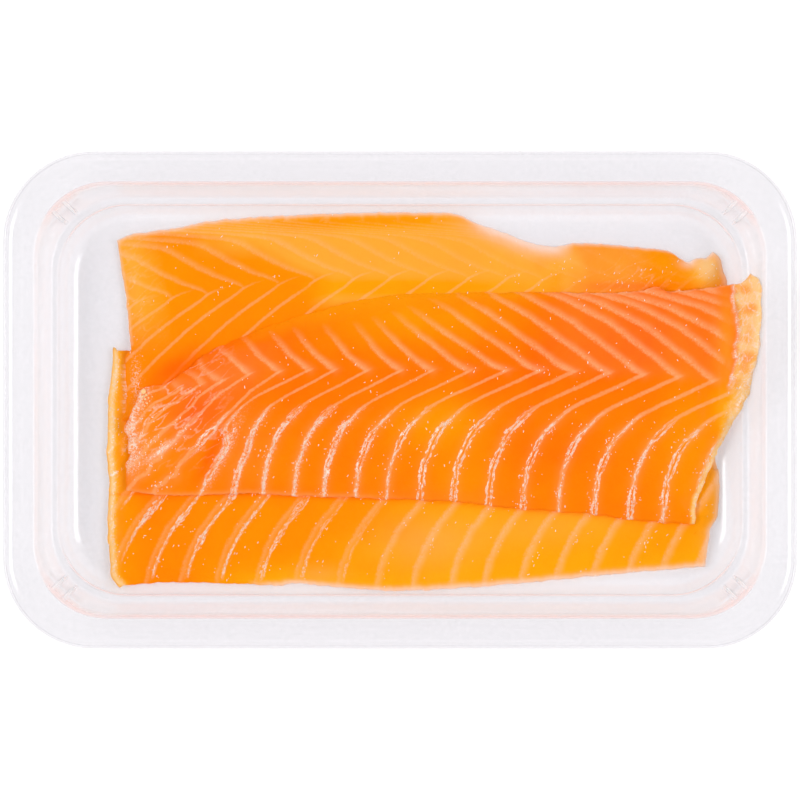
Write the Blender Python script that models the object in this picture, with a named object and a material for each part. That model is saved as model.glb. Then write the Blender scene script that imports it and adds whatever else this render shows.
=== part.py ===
"""Three slices of smoked salmon in their clear thermoformed tray.

The tray is one formed sheet: a turned-down lip, a flat sealing flange, a wall with a ledge half
way down and a stacking lug in each corner, and a floor that runs into the wall by a wide fillet.
The slices lie shingled on the floor, the front one lowest and the top one over both others, and
each is draped over whatever lies under it. The top slice ends in a thin strip that leans up the
right-hand wall. Metres, +X to the right, +Y to the back, +Z up, the origin under the middle.
"""

import math

import bmesh
import bpy
import numpy as np
from mathutils import Vector
from mathutils.bvhtree import BVHTree

MM = 0.001

# The tray: its outer size, its sheet, and the insets of its features from the outer edge.
TRAY_LENGTH = 215 * MM
TRAY_WIDTH = 134.6 * MM
TRAY_HEIGHT = 20 * MM
SHEET = 0.6 * MM
LIP_DROP = 2.4 * MM
LIP_RADIUS = 0.8 * MM
LIP_INSET = 1.6 * MM
LAND_DROP = 0.4 * MM
LAND_INSET = 5.0 * MM
FLANGE_DROP = 0.6 * MM
FLANGE_INSET = 8.6 * MM
FLANGE_EDGE_RADIUS = 0.7 * MM
LEDGE_INSET = 12.9 * MM
LEDGE_HEIGHT = 9.2 * MM
LEDGE_WIDTH = 1.1 * MM
FILLET_RADIUS = 7.0 * MM
FLOOR_INSET = 21.0 * MM
CORNER_STEPS = 8
FILLET_STEPS = 4

# How round the corners are at the lip, the flange's inner edge, the ledge and the floor.
CORNER_INSETS = (0.0, LIP_INSET, FLANGE_INSET, LEDGE_INSET, FLOOR_INSET)
CORNER_RADII = (24.5 * MM, 22.9 * MM, 19.8 * MM, 19.8 * MM, 14.5 * MM)

# A stacking lug: a flat shelf in each corner that ends in a straight face across the corner.
LUG_HEIGHT = 16.0 * MM
LUG_SHELF_FALL = 0.2 * MM
LUG_REACH = 17.3 * MM

# The slices: how thick they are in the middle and at a cut edge, and how they bend over a step.
GAP = 0.3 * MM
SLICE_THICKNESS = 2.6 * MM
EDGE_THICKNESS = 1.2 * MM
EDGE_TAPER = 7 * MM
STRIP_THICKNESS = 1.2 * MM
STRIP_START = 89 * MM
DRAPE_SLOPE = 0.6
DRAPE_ROUNDS = 12
CELL_SAMPLES = 10
RAY_HEIGHT = 50 * MM

# Each slice's outline as four edges through a few points, in millimetres. The front and back
# edges run left to right, the left and right edges run front to back, and they share corners.
FRONT_SLICE = {
    "front": [(-77, -51.5), (-64, -50.2), (-38, -50.8), (0, -52.3), (40, -49.8), (84, -45.7)],
    "back": [(-79, 14.3), (-40, 13.3), (0, 14), (45, 15), (83, 12.5)],
    "left": [(-77, -51.5), (-80, -44), (-80.5, -15), (-80.2, 0), (-79, 14.3)],
    "right": [(84, -45.7), (85.5, -36), (88, -26), (86.8, -16), (83, 12.5)],
}
BACK_SLICE = {
    "front": [(-76.4, -5.5), (-50, -9.5), (0, -11), (45, -12), (85, -10)],
    "back": [
        (-77.5, 44), (-61, 47), (-41, 50), (0, 51.3), (17, 50.2), (33, 44.2),
        (46, 42.4), (68, 41.9), (79.5, 38.2), (86.3, 40.5),
    ],
    "left": [(-76.4, -5.5), (-75.2, 5), (-74, 15), (-75.6, 30), (-77.5, 44)],
    "right": [(85, -10), (88, 8), (90, 28), (86.3, 40.5)],
}
TOP_SLICE = {
    "front": [(-75, -24.9), (-44, -25.6), (0, -27.1), (40, -30.2), (81, -33.8)],
    "back": [
        (-71.2, 2.7), (-62, 5.6), (-54, 11.9), (-42.4, 17.8), (-15, 26.6), (11, 29.3),
        (55, 29.4), (82, 30.2), (90, 31.3), (95.4, 34),
    ],
    "left": [(-75, -24.9), (-74.6, -14), (-75.4, -8), (-71.2, 2.7)],
    "right": [(81, -33.8), (82.2, -26), (87.5, -14), (93.6, -1.5), (97.3, 13), (98, 26), (95.4, 34)],
}


def clear_scene():
    for obj in list(bpy.data.objects):
        bpy.data.objects.remove(obj, do_unlink=True)


def material(name, colour, roughness, alpha=1.0):
    made = bpy.data.materials.new(name)
    made.use_nodes = True
    shader = made.node_tree.nodes["Principled BSDF"]
    shader.inputs["Base Color"].default_value = (*colour, 1.0)
    shader.inputs["Roughness"].default_value = roughness
    shader.inputs["Metallic"].default_value = 0.0
    shader.inputs["Alpha"].default_value = alpha
    made.diffuse_color = (*colour, alpha)
    return made


def object_from(bm, name, finish):
    mesh = bpy.data.meshes.new(name)
    bm.to_mesh(mesh)
    bm.free()
    mesh.materials.append(finish)
    mesh.shade_smooth()
    mesh.set_sharp_from_angle(angle=math.radians(35))
    made = bpy.data.objects.new(name, mesh)
    bpy.context.scene.collection.objects.link(made)
    return made


def arc(centre, radius, start, end, steps):
    """Points on an arc of the tray's section, from one angle in degrees to another."""
    angles = np.radians(np.linspace(start, end, steps + 1))
    return [(centre[0] + radius * math.cos(a), centre[1] + radius * math.sin(a)) for a in angles]


def tray_section():
    """The sheet's upper face as (inset, height) points, from the lip's lower edge to the floor."""
    land = TRAY_HEIGHT - LAND_DROP
    flange = TRAY_HEIGHT - FLANGE_DROP
    ledge_in = LEDGE_INSET + LEDGE_WIDTH
    wall_top = flange - 2 * FLANGE_EDGE_RADIUS
    wall_foot = LEDGE_HEIGHT + FLANGE_EDGE_RADIUS
    foot_inset = LEDGE_INSET - FLANGE_EDGE_RADIUS
    lug_share = (wall_top - LUG_HEIGHT) / (wall_top - wall_foot)
    lug_inset = FLANGE_INSET + lug_share * (foot_inset - FLANGE_INSET)
    edge_centre = (FLANGE_INSET - FLANGE_EDGE_RADIUS, flange - FLANGE_EDGE_RADIUS)
    section = [(0.0, TRAY_HEIGHT - LIP_DROP)]
    section += arc((LIP_RADIUS, TRAY_HEIGHT - LIP_RADIUS), LIP_RADIUS, 180, 90, 2)
    section += [(LIP_INSET, TRAY_HEIGHT), (LIP_INSET + LAND_DROP, land)]
    section += [(LAND_INSET, land), (LAND_INSET + LAND_DROP, flange)]
    section += arc(edge_centre, FLANGE_EDGE_RADIUS, 90, 20, 2)
    section += [(lug_inset - LUG_SHELF_FALL / 2, LUG_HEIGHT + LUG_SHELF_FALL), (lug_inset, LUG_HEIGHT)]
    section += [(foot_inset, wall_foot), (LEDGE_INSET, LEDGE_HEIGHT)]
    section += [(ledge_in - LAND_DROP, LEDGE_HEIGHT), (ledge_in, LEDGE_HEIGHT - LAND_DROP)]
    section += arc((FLOOR_INSET, SHEET + FILLET_RADIUS), FILLET_RADIUS, 180, 270, FILLET_STEPS)
    return section


def offset_section(section, thickness):
    """The sheet's lower face: each point moved across the sheet, square to the section there."""
    points = np.array(section)
    steps = np.diff(points, axis=0)
    across = np.stack([-steps[:, 1], steps[:, 0]], axis=1)
    across /= np.linalg.norm(across, axis=1)[:, None]
    before = np.vstack([across[:1], across])
    after = np.vstack([across, across[-1:]])
    middle = before + after
    middle /= np.linalg.norm(middle, axis=1)[:, None]
    stretch = 1 / np.maximum(0.75, (middle * before).sum(axis=1))
    return points - middle * (thickness * stretch)[:, None]


def tray_loop(bm, inset, height, radius, lug_reach):
    """One ring of the tray: a rounded rectangle, cut straight across each corner past a lug."""
    half_x = TRAY_LENGTH / 2 - inset - radius
    half_y = TRAY_WIDTH / 2 - inset - radius
    lug_x = TRAY_LENGTH / 2 - FLANGE_INSET - CORNER_RADII[2]
    lug_y = TRAY_WIDTH / 2 - FLANGE_INSET - CORNER_RADII[2]
    ring = []
    for corner, (sx, sy) in enumerate(((1, 1), (-1, 1), (-1, -1), (1, -1))):
        outward = Vector((sx, sy, 0)).normalized()
        for step in range(CORNER_STEPS + 1):
            angle = math.radians(90 * (corner + step / CORNER_STEPS))
            point = Vector((sx * half_x, sy * half_y, height))
            point += Vector((radius * math.cos(angle), radius * math.sin(angle), 0))
            beyond = (point - Vector((sx * lug_x, sy * lug_y, height))).dot(outward) - lug_reach
            if beyond > 0:
                point -= outward * beyond
            ring.append(bm.verts.new(point))
    return ring


def bridge(bm, ring, next_ring):
    for i, vert in enumerate(ring):
        j = (i + 1) % len(ring)
        bm.faces.new((vert, ring[j], next_ring[j], next_ring[i]))


def make_tray():
    upper = np.array(tray_section())
    lower = offset_section(upper, SHEET)
    lower[-1] = (FLOOR_INSET, 0.0)
    radii = np.interp(upper[:, 0], CORNER_INSETS, CORNER_RADII)
    has_lug = upper[:, 1] <= LUG_HEIGHT + 1e-9
    no_lug = TRAY_LENGTH
    bm = bmesh.new()
    top_rings = []
    under_rings = []
    for i, (over, under) in enumerate(zip(upper, lower)):
        reach = LUG_REACH if has_lug[i] else no_lug
        top_rings.append(tray_loop(bm, over[0], over[1], radii[i], reach))
        outer_radius = radii[i] + over[0] - under[0]
        under_rings.append(tray_loop(bm, under[0], under[1], outer_radius, reach + SHEET))
    for rings in (top_rings, under_rings):
        for ring, next_ring in zip(rings, rings[1:]):
            bridge(bm, ring, next_ring)
        bm.faces.new(rings[-1])
    bridge(bm, under_rings[0], top_rings[0])
    bmesh.ops.recalc_face_normals(bm, faces=bm.faces)
    bmesh.ops.triangulate(bm, faces=bm.faces)
    return object_from(bm, "tray", material("clear_tray", (0.9, 0.89, 0.92), 0.08, alpha=0.25))


def smooth_curve(points, shares):
    """Points at these shares of the length of a smooth curve through the given points."""
    knots = np.array(points, dtype=float) * MM
    ends = np.vstack([2 * knots[0] - knots[1], knots, 2 * knots[-1] - knots[-2]])
    length = np.concatenate([[0], np.cumsum(np.linalg.norm(np.diff(knots, axis=0), axis=1))])
    places = np.interp(shares, length / length[-1], np.arange(len(knots)))
    span = np.minimum(places.astype(int), len(knots) - 2)
    t = (places - span)[:, None]
    p0, p1, p2, p3 = (ends[span + k] for k in range(4))
    bend = 2 * p1 + (p2 - p0) * t + (2 * p0 - 5 * p1 + 4 * p2 - p3) * t**2
    return 0.5 * (bend + (3 * p1 - p0 - 3 * p2 + p3) * t**3)


def patch(outline, u, v):
    """Plan positions over a slice: u runs left to right and v front to back, both from 0 to 1."""
    front = smooth_curve(outline["front"], u)[:, None]
    back = smooth_curve(outline["back"], u)[:, None]
    left = smooth_curve(outline["left"], v)[None]
    right = smooth_curve(outline["right"], v)[None]
    u = u[:, None, None]
    v = v[None, :, None]
    between = (1 - v) * front + v * back + (1 - u) * left + u * right
    front_row = (1 - u) * front[:1] + u * front[-1:]
    back_row = (1 - u) * back[:1] + u * back[-1:]
    return between - (1 - v) * front_row - v * back_row


def refined(shares):
    """The same shares with CELL_SAMPLES steps to each of their own."""
    marks = np.arange(len(shares))
    return np.interp(np.linspace(0, marks[-1], marks[-1] * CELL_SAMPLES + 1), marks, shares)


def height_under(plan, trees):
    """The highest surface among the trees below each plan position, or the table's height."""
    found = np.zeros(plan.shape[:2])
    for index in np.ndindex(found.shape):
        above = Vector((*plan[index], RAY_HEIGHT))
        for tree in trees:
            hit = tree.ray_cast(above, Vector((0, 0, -1)))[0]
            if hit and hit.z > found[index]:
                found[index] = hit.z
    return found


def highest_around(fine, columns, rows):
    """Each grid point's highest fine sample as far as the neighbouring grid points."""
    found = np.empty((columns, rows))
    for i, j in np.ndindex(columns, rows):
        left, front = max(0, (i - 1) * CELL_SAMPLES), max(0, (j - 1) * CELL_SAMPLES)
        found[i, j] = fine[left:(i + 1) * CELL_SAMPLES + 1, front:(j + 1) * CELL_SAMPLES + 1].max()
    return found


def draped(heights, plan):
    """Heights that fall away from each high point no faster than a limp slice bends."""
    heights = heights.copy()
    run_x = DRAPE_SLOPE * np.linalg.norm(np.diff(plan, axis=0), axis=2)
    run_y = DRAPE_SLOPE * np.linalg.norm(np.diff(plan, axis=1), axis=2)
    for _ in range(DRAPE_ROUNDS):
        heights[1:] = np.maximum(heights[1:], heights[:-1] - run_x)
        heights[:-1] = np.maximum(heights[:-1], heights[1:] - run_x)
        heights[:, 1:] = np.maximum(heights[:, 1:], heights[:, :-1] - run_y)
        heights[:, :-1] = np.maximum(heights[:, :-1], heights[:, 1:] - run_y)
    return heights


def slice_thickness(plan, thin_from):
    """Full thickness inside, tapered to the cut edges, and thin all over past thin_from."""
    edge = np.concatenate([plan[0], plan[-1], plan[:, 0], plan[:, -1]])
    inside = np.linalg.norm(plan[:, :, None] - edge, axis=3).min(axis=2)
    full = EDGE_THICKNESS + (SLICE_THICKNESS - EDGE_THICKNESS) * np.sin(
        np.minimum(inside / EDGE_TAPER, 1) * math.pi / 2
    )
    into_strip = np.clip((plan[:, :, 0] - thin_from) / (4 * MM), 0, 1)
    return full + (np.minimum(full, STRIP_THICKNESS) - full) * into_strip


def make_slice(name, outline, columns, rows, tray_tree, slice_trees, colour, crowding=1.0, thin_from=1.0):
    """One slice, with its columns crowded towards the right end by that power."""
    u = 1 - np.linspace(1, 0, columns + 1) ** crowding
    v = np.linspace(0, 1, rows + 1)
    plan = patch(outline, u, v)
    fine_plan = patch(outline, refined(u), refined(v))
    size = (columns + 1, rows + 1)
    on_tray = highest_around(height_under(fine_plan, [tray_tree]), *size)
    on_slices = draped(highest_around(height_under(fine_plan, slice_trees), *size), plan)
    under = np.maximum(on_tray, on_slices) + GAP
    thickness = slice_thickness(plan, thin_from)

    bm = bmesh.new()
    bmesh.ops.create_grid(bm, x_segments=columns, y_segments=rows, size=0.5)
    grid = {}
    for vert in bm.verts:
        index = (round((vert.co.x + 0.5) * columns), round((vert.co.y + 0.5) * rows))
        grid[index] = vert
        vert.co = Vector((*plan[index], under[index]))
    bm.normal_update()
    normals = {index: vert.normal.copy() for index, vert in grid.items()}
    raised = bmesh.ops.extrude_face_region(bm, geom=list(bm.faces))["geom"]
    lower = {tuple(vert.co): index for index, vert in grid.items()}
    for vert in (item for item in raised if isinstance(item, bmesh.types.BMVert)):
        index = lower[tuple(vert.co)]
        vert.co += normals[index] * float(thickness[index])
    bmesh.ops.recalc_face_normals(bm, faces=bm.faces)
    bmesh.ops.triangulate(bm, faces=bm.faces)
    tree = BVHTree.FromBMesh(bm)
    object_from(bm, name, material(name + "_flesh", colour, 0.25))
    return tree


clear_scene()
tray = make_tray()
tray_tree = BVHTree.FromObject(tray, bpy.context.evaluated_depsgraph_get())
front_tree = make_slice("slice_front", FRONT_SLICE, 32, 12, tray_tree, [], (1.0, 0.3, 0.01))
back_tree = make_slice("slice_back", BACK_SLICE, 34, 12, tray_tree, [front_tree], (1.0, 0.36, 0.03))
make_slice(
    "slice_top", TOP_SLICE, 40, 13, tray_tree, [front_tree, back_tree], (1.0, 0.22, 0.015),
    crowding=1.4, thin_from=STRIP_START,
)
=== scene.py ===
"""Smoked salmon slices in their clear tray: the looks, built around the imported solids."""

import math

import bmesh
import bpy
import numpy as np
from mathutils import Matrix, Vector, noise
from mathutils.bvhtree import BVHTree


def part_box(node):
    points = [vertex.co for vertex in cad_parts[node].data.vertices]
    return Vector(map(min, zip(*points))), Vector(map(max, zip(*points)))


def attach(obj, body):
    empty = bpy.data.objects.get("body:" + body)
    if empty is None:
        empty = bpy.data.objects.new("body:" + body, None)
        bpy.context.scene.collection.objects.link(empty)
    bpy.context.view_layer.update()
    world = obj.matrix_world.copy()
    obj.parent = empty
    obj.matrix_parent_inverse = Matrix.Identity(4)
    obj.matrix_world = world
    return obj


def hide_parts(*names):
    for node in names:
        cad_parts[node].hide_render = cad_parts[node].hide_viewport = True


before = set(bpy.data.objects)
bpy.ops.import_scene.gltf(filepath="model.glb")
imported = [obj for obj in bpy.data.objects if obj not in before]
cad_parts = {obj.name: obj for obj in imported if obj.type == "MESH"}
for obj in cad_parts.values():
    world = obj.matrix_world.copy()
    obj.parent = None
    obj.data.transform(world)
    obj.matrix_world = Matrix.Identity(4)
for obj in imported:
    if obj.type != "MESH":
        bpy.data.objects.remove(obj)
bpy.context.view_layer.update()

# The tray: one sheet of clear plastic, drawn warm over a mould and trimmed. A turned-down lip
# stiffens the flat sealing flange, a ledge runs round half way down the wall, and each corner has
# a stacking lug with two small ribs. The floor meets the wall in a wide fillet.

MM = 0.001
tray_low, tray_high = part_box("tray")
RIM = tray_high.z / MM
SHEET = 0.6
CORNER_INSETS = (0, 1.6, 8.6, 12.9, 21)
CORNER_RADII = (24.5, 22.9, 19.8, 19.8, 14.5)
LUG_TOP = 16.0
LUG_REACH = 17.3
LUG_CENTRE = 8.6 + 19.8
RIB_APART = 3.3
RIB_HALF_WIDTH = 0.5
RIB_LENGTH = 1.9
RIB_RISE = 0.4


def rounded(corners, steps):
    """A line through (x, y, radius) corners, with each corner turned into an arc of that radius."""
    places = [Vector(corner[:2]) for corner in corners]
    line = [tuple(places[0])]
    for before, here, after, corner in zip(places, places[1:], places[2:], corners[1:]):
        back = (before - here).normalized()
        on = (after - here).normalized()
        half = back.angle(on) / 2
        reach = corner[2] / math.tan(half)
        centre = here + (back + on).normalized() * (corner[2] / math.sin(half))
        start = here + back * reach - centre
        sweep = start.angle_signed(here + on * reach - centre)
        for step in range(steps + 1):
            turn = -sweep * step / steps
            spoke = Vector((
                start.x * math.cos(turn) - start.y * math.sin(turn),
                start.x * math.sin(turn) + start.y * math.cos(turn),
            ))
            line.append(tuple(centre + spoke))
    line.append(tuple(places[-1]))
    return line


def across(line, distance):
    """The same line moved sideways by a distance, square to itself at every point."""
    points = np.array(line)
    steps = np.diff(points, axis=0)
    side = np.stack([-steps[:, 1], steps[:, 0]], axis=1)
    side /= np.linalg.norm(side, axis=1)[:, None]
    middle = np.vstack([side[:1], side[:-1] + side[1:], side[-1:]])
    middle /= np.linalg.norm(middle, axis=1)[:, None]
    return points + middle * distance


section = rounded(
    [
        (0, RIM - 2.4, 0),
        (0, RIM, 0.8),
        (1.7, RIM, 0.7),
        (2.5, RIM - 0.4, 0.7),
        (4.7, RIM - 0.4, 0.7),
        (5.3, RIM - 0.6, 0.7),
        (8.4, RIM - 0.6, 0.7),
        (9.63, LUG_TOP + 0.2, 0.05),
        (9.72, LUG_TOP, 0.05),
        (12.2, 9.2, 0.5),
        (14.0, 9.2, 0.65),
        (14.0, SHEET, 7.0),
        (24.0, SHEET, 0),
    ],
    8,
)
under_section = across(section, -SHEET)

turns = sorted({*np.linspace(-45, 45, 25).round(3), *np.linspace(-9, 9, 37).round(3)})
columns = [(corner, turn) for corner in range(4) for turn in turns]


def rib_at(turn):
    """How far a column lies inside one of a lug's two ribs, from 0 to 1."""
    off = abs(abs(math.radians(turn)) * LUG_REACH - RIB_APART / 2)
    return max(0.0, min(1.0, 2 * (1 - off / RIB_HALF_WIDTH)))


def ring_point(inset, height, outer_inset, column, growth):
    """One point of the tray on one column, held back to the lug's straight face in the corners, with
    how strongly a pink reflection of the fish is painted on its edge and how strongly a white highlight is painted
    on a rib."""
    corner, turn = column
    radius = np.interp(outer_inset, CORNER_INSETS, CORNER_RADII) + outer_inset - inset
    diagonal = corner * math.pi / 2 + math.pi / 4
    way = diagonal + math.radians(turn)
    sx = math.copysign(1, math.cos(diagonal))
    sy = math.copysign(1, math.sin(diagonal))
    x = sx * (tray_high.x / MM - inset - radius) + radius * math.cos(way)
    y = sy * (tray_high.y / MM - inset - radius) + radius * math.sin(way)
    rib = rib_at(turn)
    ledge_edge = outer_inset > 13.75 and height > 7.8
    flange_edge = 8.3 < outer_inset < 8.9 and height > RIM - 2.2
    # A pink reflection of the fish is painted along the ledge's and the flange's edges on the long sides, and
    # faintly on the lug tops.
    blush = (0.9 * ledge_edge + 0.5 * flange_edge) * max(0.0, min(1.0, 3 * abs(math.sin(way)) - 1))
    frost = 0.0
    if height <= LUG_TOP + 0.12:
        lug = (math.cos(diagonal), math.sin(diagonal))
        centre = (sx * (tray_high.x / MM - LUG_CENTRE), sy * (tray_high.y / MM - LUG_CENTRE))
        reach = LUG_REACH + growth - RIB_LENGTH * rib
        beyond = max(0, (x - centre[0]) * lug[0] + (y - centre[1]) * lug[1] - reach)
        x -= lug[0] * beyond
        y -= lug[1] * beyond
        blush = max(blush, 0.22 * (abs(height - LUG_TOP) < 0.12) * min(1.0, 4 * beyond) * (1 - rib))
        # The ribs get a painted white highlight.
        frost = rib * (beyond > 0.05) * (height > LUG_TOP - 2.5)
        height += RIB_RISE * rib * min(1, beyond) * (height > LUG_TOP - 0.5)
    return Vector((x, y, height)) * MM, blush, frost


def extruded_ring(bm, edges, places):
    """Extrudes an open ring of edges and moves each new vertex to its column's place."""
    column_of = {vert: i for i, vert in ring_order.items()}
    made = bmesh.ops.extrude_edge_only(bm, edges=edges)["geom"]
    new_edges = [item for item in made if isinstance(item, bmesh.types.BMEdge)]
    new_verts = [item for item in made if isinstance(item, bmesh.types.BMVert)]
    for vert in new_verts:
        old = next(edge.other_vert(vert) for edge in vert.link_edges if edge.other_vert(vert) in column_of)
        ring_order[column_of[old]] = vert
    for i, vert in ring_order.items():
        vert.co, vert[blush], vert[frost] = places[i]
    return [edge for edge in new_edges if all(v in new_verts for v in edge.verts)]


bm = bmesh.new()
blush = bm.verts.layers.float.new("blush")
frost = bm.verts.layers.float.new("frost")
circle = bmesh.ops.create_circle(bm, segments=len(columns), cap_ends=True, radius=1)["verts"]
ring_order = {i: vert for i, vert in enumerate(circle)}
upper = [(place[0], place[1], place[0], 0.0) for place in section]
lower = [(low[0], low[1], place[0], SHEET) for place, low in zip(section, under_section)]
stations = upper[::-1] + lower
rings = [
    [ring_point(inset, height, outer, column, growth) for column in columns]
    for inset, height, outer, growth in stations
]
for i, vert in ring_order.items():
    vert.co, vert[blush], vert[frost] = rings[0][i]
open_edges = [edge for edge in bm.edges]
for places in rings[1:]:
    open_edges = extruded_ring(bm, open_edges, places)
bmesh.ops.contextual_create(bm, geom=open_edges)
bmesh.ops.recalc_face_normals(bm, faces=bm.faces)
tray_mesh = bpy.data.meshes.new("clear_tray")
bm.to_mesh(tray_mesh)
tray_tree = BVHTree.FromBMesh(bm)
bm.free()
tray_mesh.shade_smooth()
tray = bpy.data.objects.new("clear_tray", tray_mesh)
bpy.context.scene.collection.objects.link(tray)


class Wire:
    """An output of a finish's node tree. Arithmetic on wires adds the Math nodes that work it out."""

    def __init__(self, finish, socket):
        self.finish = finish
        self.socket = socket

    def maths(self, operation, first, second=0.0):
        return self.finish.node("ShaderNodeMath", {"operation": operation}, {0: first, 1: second})

    def __add__(self, other):
        return self.maths("ADD", self, other)

    __radd__ = __add__

    def __sub__(self, other):
        return self.maths("SUBTRACT", self, other)

    def __rsub__(self, other):
        return self.maths("SUBTRACT", other, self)

    def __mul__(self, other):
        return self.maths("MULTIPLY", self, other)

    __rmul__ = __mul__

    def __truediv__(self, other):
        return self.maths("DIVIDE", self, other)

    def __pow__(self, other):
        return self.maths("POWER", self, other)

    def __abs__(self):
        return self.maths("ABSOLUTE", self)

    def part(self):
        """What is left of the value after its whole number."""
        return self.maths("FRACT", self)

    def within(self, low, high):
        """The value, held between low and high."""
        return self.finish.node("ShaderNodeClamp", {}, {0: self, 1: low, 2: high})

    def step(self, low, high):
        """A smooth rise from 0 at low to 1 at high."""
        settings = {"interpolation_type": "SMOOTHSTEP"}
        return self.finish.node("ShaderNodeMapRange", settings, {0: self, 1: low, 2: high})


class Finish:
    """A material or a world under construction: nodes go in by type, and a shader to the output."""

    def __init__(self, block, output="ShaderNodeOutputMaterial"):
        block.use_nodes = True
        self.tree = block.node_tree
        self.tree.nodes.clear()
        self.surface = self.tree.nodes.new(output).inputs["Surface"]

    def node(self, kind, settings=None, sockets=None, output=0):
        """Adds a node with its settings first and then its sockets, and returns one output."""
        made = self.tree.nodes.new(kind)
        for key, value in (settings or {}).items():
            if key == "stops":
                ramp = made.color_ramp.elements
                while len(ramp) < len(value):
                    ramp.new(0.5)
                for element, (position, colour) in zip(ramp, value):
                    element.position = position
                    element.color = (*colour, 1)
            else:
                setattr(made, key, value)
        for key, value in (sockets or {}).items():
            if isinstance(value, Wire):
                self.tree.links.new(value.socket, made.inputs[key])
            else:
                made.inputs[key].default_value = value
        return Wire(self, made.outputs[output])

    def show(self, shader):
        self.tree.links.new(shader.socket, self.surface)

    def attribute(self, name):
        return self.node("ShaderNodeAttribute", {"attribute_name": name}, output="Fac")

    def cloud(self, place, size, detail=2.0):
        """A noise around 0.5 whose blotches are about this many millimetres across."""
        return self.node("ShaderNodeTexNoise", {}, {"Vector": place, "Scale": 1 / (size * MM), "Detail": detail})

    def mix(self, share, first, second):
        """A mix of two colours, each a wire or three numbers."""
        sockets = {0: share}
        for key, colour in ((6, first), (7, second)):
            sockets[key] = colour if isinstance(colour, Wire) else (*colour, 1)
        return self.node("ShaderNodeMix", {"data_type": "RGBA"}, sockets, 2)


# Clear sheet: what lies behind shows through a faint bloom, under a reflection that grows towards
# grazing angles. The drawing of the sheet leaves it very slightly wavy.
clear_plastic = bpy.data.materials.new("clear_plastic")
finish = Finish(clear_plastic)
place = finish.node("ShaderNodeTexCoord", output="Object")
see_through = finish.node("ShaderNodeBsdfTransparent", {}, {"Color": (0.985, 0.978, 0.988, 1)})
bloom = finish.node("ShaderNodeBsdfDiffuse", {}, {"Color": (0.84, 0.82, 0.855, 1)})
milk = finish.cloud(place, 1.2, 3) * 0.06 + 0.17
sheet = finish.node("ShaderNodeMixShader", {}, {0: milk, 1: see_through, 2: bloom})
# A pink diffuse paints a reflection of the fish along the tray's edges.
fish_reflection_colour = finish.node("ShaderNodeBsdfDiffuse", {}, {"Color": (1.0, 0.62, 0.52, 1)})
sheet = finish.node("ShaderNodeMixShader", {}, {0: finish.attribute("blush") * 0.38, 1: sheet, 2: fish_reflection_colour})
# A near-white diffuse paints a highlight on the lugs' ribs.
rib_highlight_white = finish.node("ShaderNodeBsdfDiffuse", {}, {"Color": (0.98, 0.97, 0.98, 1)})
sheet = finish.node("ShaderNodeMixShader", {}, {0: finish.attribute("frost") * 0.75, 1: sheet, 2: rib_highlight_white})
waves = finish.cloud(place, 11)
bump = finish.node("ShaderNodeBump", {}, {"Height": waves, "Strength": 0.3, "Distance": 0.0008})
shine = finish.node("ShaderNodeBsdfAnisotropic", {}, {"Roughness": 0.2, "Normal": bump})
facing = finish.node("ShaderNodeLayerWeight", {}, {"Normal": bump}, "Facing")
mirror = facing**5 * 0.4 + 0.04
finish.show(finish.node("ShaderNodeMixShader", {}, {0: mirror, 1: sheet, 2: shine}))
tray_mesh.materials.append(clear_plastic)
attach(tray, "root")
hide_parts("tray")

# The front slice: a long slice of cold-smoked salmon about 2.6 mm thick, cut along the fillet and
# laid on the tray's floor. Its pale lines are the sheets of tissue between the muscle blocks, cut
# across, so they slant and repeat along it. Its left end is the fibrous trimmed edge.

CELL_LONG = 0.42
CELL_WIDE = 0.62
CLEARANCE = 0.03
SLICE = 2.6
CUT_EDGE = 1.1
EDGE_FALL = 6.0


def along(points, shares):
    """Points at these shares of the length of a smooth curve through the given points."""
    knots = np.array(points, dtype=float)
    ends = np.vstack([2 * knots[0] - knots[1], knots, 2 * knots[-1] - knots[-2]])
    length = np.concatenate([[0], np.cumsum(np.linalg.norm(np.diff(knots, axis=0), axis=1))])
    places = np.interp(shares, length / length[-1], np.arange(len(knots)))
    span = np.minimum(places.astype(int), len(knots) - 2)
    t = (places - span)[:, None]
    p0, p1, p2, p3 = (ends[span + k] for k in range(4))
    bend = 2 * p1 + (p2 - p0) * t + (2 * p0 - 5 * p1 + 4 * p2 - p3) * t**2
    return 0.5 * (bend + (3 * p1 - p0 - 3 * p2 + p3) * t**3)


def plan_of(front, back, left, right):
    """A grid of places over a slice, stretched between its four cut edges."""
    def cells(one, other, size):
        lengths = [np.linalg.norm(np.diff(np.array(line), axis=0), axis=1).sum() for line in (one, other)]
        return round(max(lengths) / size)

    u = np.linspace(0, 1, cells(front, back, CELL_LONG) + 1)
    v = np.linspace(0, 1, cells(left, right, CELL_WIDE) + 1)
    low = along(front, u)[:, None]
    high = along(back, u)[:, None]
    start = along(left, v)[None]
    end = along(right, v)[None]
    u = u[:, None, None]
    v = v[None, :, None]
    flat = (1 - v) * ((1 - u) * low[:1] + u * low[-1:]) + v * ((1 - u) * high[:1] + u * high[-1:])
    return (1 - v) * low + v * high + (1 - u) * start + u * end - flat


def ripple(plan, size, seed):
    """A smooth random height over the plan, mostly between -1 and 1, that changes over size mm."""
    values = [noise.noise((x, y, seed)) for x, y in plan.reshape(-1, 2) / size]
    return 2 * np.array(values).reshape(plan.shape[:2])


def fray(plan, seed, amount):
    """Moves the plan a little, so that cut edges wander and fray instead of running true."""
    off_x = ripple(plan, 3.1, seed) + 0.6 * ripple(plan, 1.1, seed + 5)
    off_y = ripple(plan, 3.1, seed + 11) + 0.6 * ripple(plan, 1.1, seed + 17)
    return plan + amount * np.stack([off_x, off_y], axis=2)


def from_edges(plan):
    """Each place's distance from the slice's left, right, front and back edges, along the grid."""
    found = []
    for axis in (0, 1):
        steps = np.linalg.norm(np.diff(plan, axis=axis), axis=2)
        walked = np.cumsum(np.insert(steps, 0, 0, axis=axis), axis=axis)
        found += [walked, np.take(walked, [-1], axis=axis) - walked]
    return found


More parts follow.
